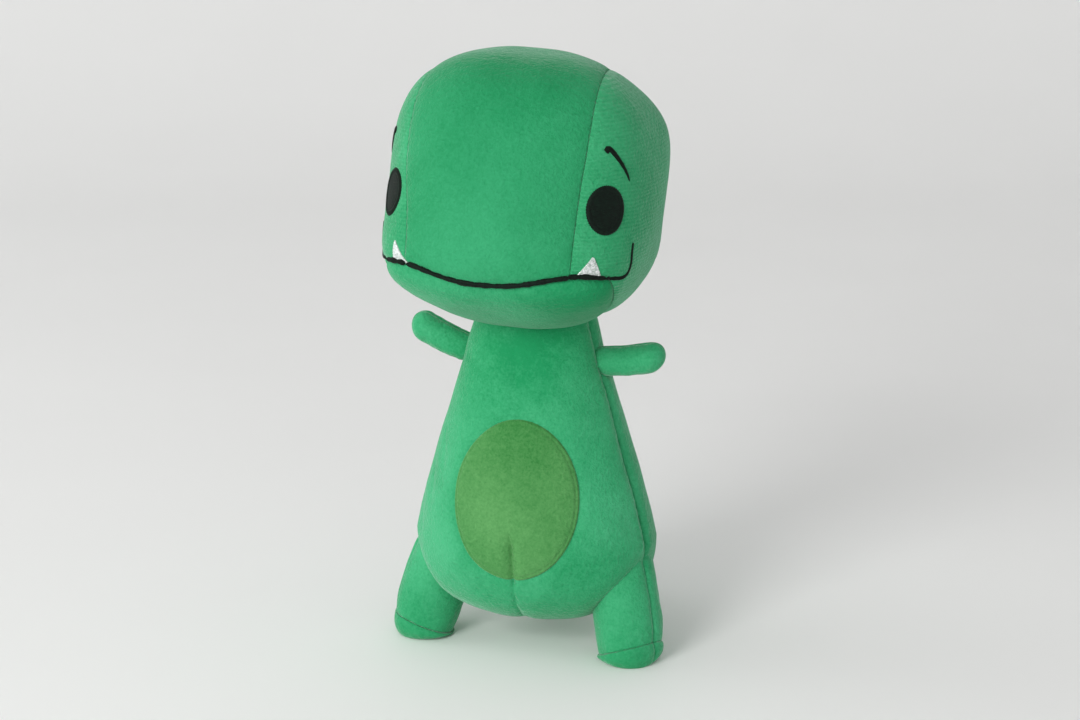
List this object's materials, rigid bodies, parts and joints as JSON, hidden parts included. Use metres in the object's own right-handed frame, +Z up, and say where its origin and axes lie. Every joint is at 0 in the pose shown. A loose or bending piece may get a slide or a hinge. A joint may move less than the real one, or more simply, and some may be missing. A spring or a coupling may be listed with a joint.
{
  "type": "stuffed dinosaur",
  "caption": "Soft standing plush dinosaur with a large boxy head, stubby arms, a round belly patch, splayed legs and a short tail that props it up.",
  "frame": {"origin": "on the floor under the middle of the overall box, which is also under the torso's own axis", "axes": "+Z up, the face looks along -Y, +X is the toy's own left side"},
  "size_m": [0.1183, 0.1212, 0.2438],
  "materials": {
    "pile_green": "short brushed pile, soft sheen",
    "pile_olive": "short brushed pile, soft sheen",
    "thread_black": "satin stitch embroidery thread",
    "thread_white": "satin stitch embroidery with a light sparkle",
    "filling": "white polyester fibre",
    "pouch_cloth": "plain woven bag of plastic pellets"
  },
  "bodies": {
    "torso": {"torso_front_panel": "pile_green", "torso_back_left_panel": "pile_green", "torso_back_right_panel": "pile_green", "belly_patch": "pile_olive", "torso_stuffing": "filling", "pellet_pouch": "pouch_cloth"},
    "neck": {"neck_plug": "filling"},
    "head": {"head_front_panel": "pile_green", "head_side_panel_left": "pile_green", "head_side_panel_right": "pile_green", "jaw_panel": "pile_green", "head_stuffing": "filling", "mouth_line": "thread_black", "eye_left": "thread_black", "eye_right": "thread_black", "brow_left": "thread_black", "brow_right": "thread_black", "tooth_left": "thread_white", "tooth_right": "thread_white", "smile_left": "thread_black", "smile_right": "thread_black"},
    "tail": {"tail_left_panel": "pile_green", "tail_right_panel": "pile_green", "tail_stuffing": "filling"},
    "arm_left": {"arm_left_front": "pile_green", "arm_left_back": "pile_green", "arm_left_stuffing": "filling"},
    "leg_left": {"leg_left_cover": "pile_green", "leg_left_sole": "pile_green", "leg_left_stuffing": "filling"},
    "arm_right": {"arm_right_front": "pile_green", "arm_right_back": "pile_green", "arm_right_stuffing": "filling"},
    "leg_right": {"leg_right_cover": "pile_green", "leg_right_sole": "pile_green", "leg_right_stuffing": "filling"}
  },
  "joints": [
    {"name": "neck_turn", "type": "hinge", "parent": "torso", "child": "neck", "pos_m": [0, 0, 0.141], "axis": [0, 0, 1], "range_deg": [-25, 25], "stiffness_Nm_per_rad": 0.3},
    {"name": "neck_nod", "type": "hinge", "parent": "neck", "child": "head", "pos_m": [0, 0, 0.141], "axis": [1, 0, 0], "range_deg": [-12, 12], "stiffness_Nm_per_rad": 0.4},
    {"name": "arm_left_raise", "type": "hinge", "parent": "torso", "child": "arm_left", "pos_m": [0.025, 0, 0.119], "axis": [0, -1, 0], "range_deg": [-40, 30], "stiffness_Nm_per_rad": 0.006},
    {"name": "arm_right_raise", "type": "hinge", "parent": "torso", "child": "arm_right", "pos_m": [-0.025, 0, 0.119], "axis": [0, 1, 0], "range_deg": [-50, 16], "stiffness_Nm_per_rad": 0.006},
    {"name": "leg_left_swing", "type": "hinge", "parent": "torso", "child": "leg_left", "pos_m": [0.036, -0.005, 0.042], "axis": [-0.9749, -0.0659, -0.2129], "range_deg": [-20, 20], "stiffness_Nm_per_rad": 0.6},
    {"name": "leg_right_swing", "type": "hinge", "parent": "torso", "child": "leg_right", "pos_m": [-0.036, -0.004, 0.042], "axis": [-0.974, 0.0475, 0.2217], "range_deg": [-20, 20], "stiffness_Nm_per_rad": 0.6},
    {"name": "tail_lift", "type": "hinge", "parent": "torso", "child": "tail", "pos_m": [0, 0.02, 0.04], "axis": [1, 0, 0], "range_deg": [0, 35], "stiffness_Nm_per_rad": 0.5}
  ]
}
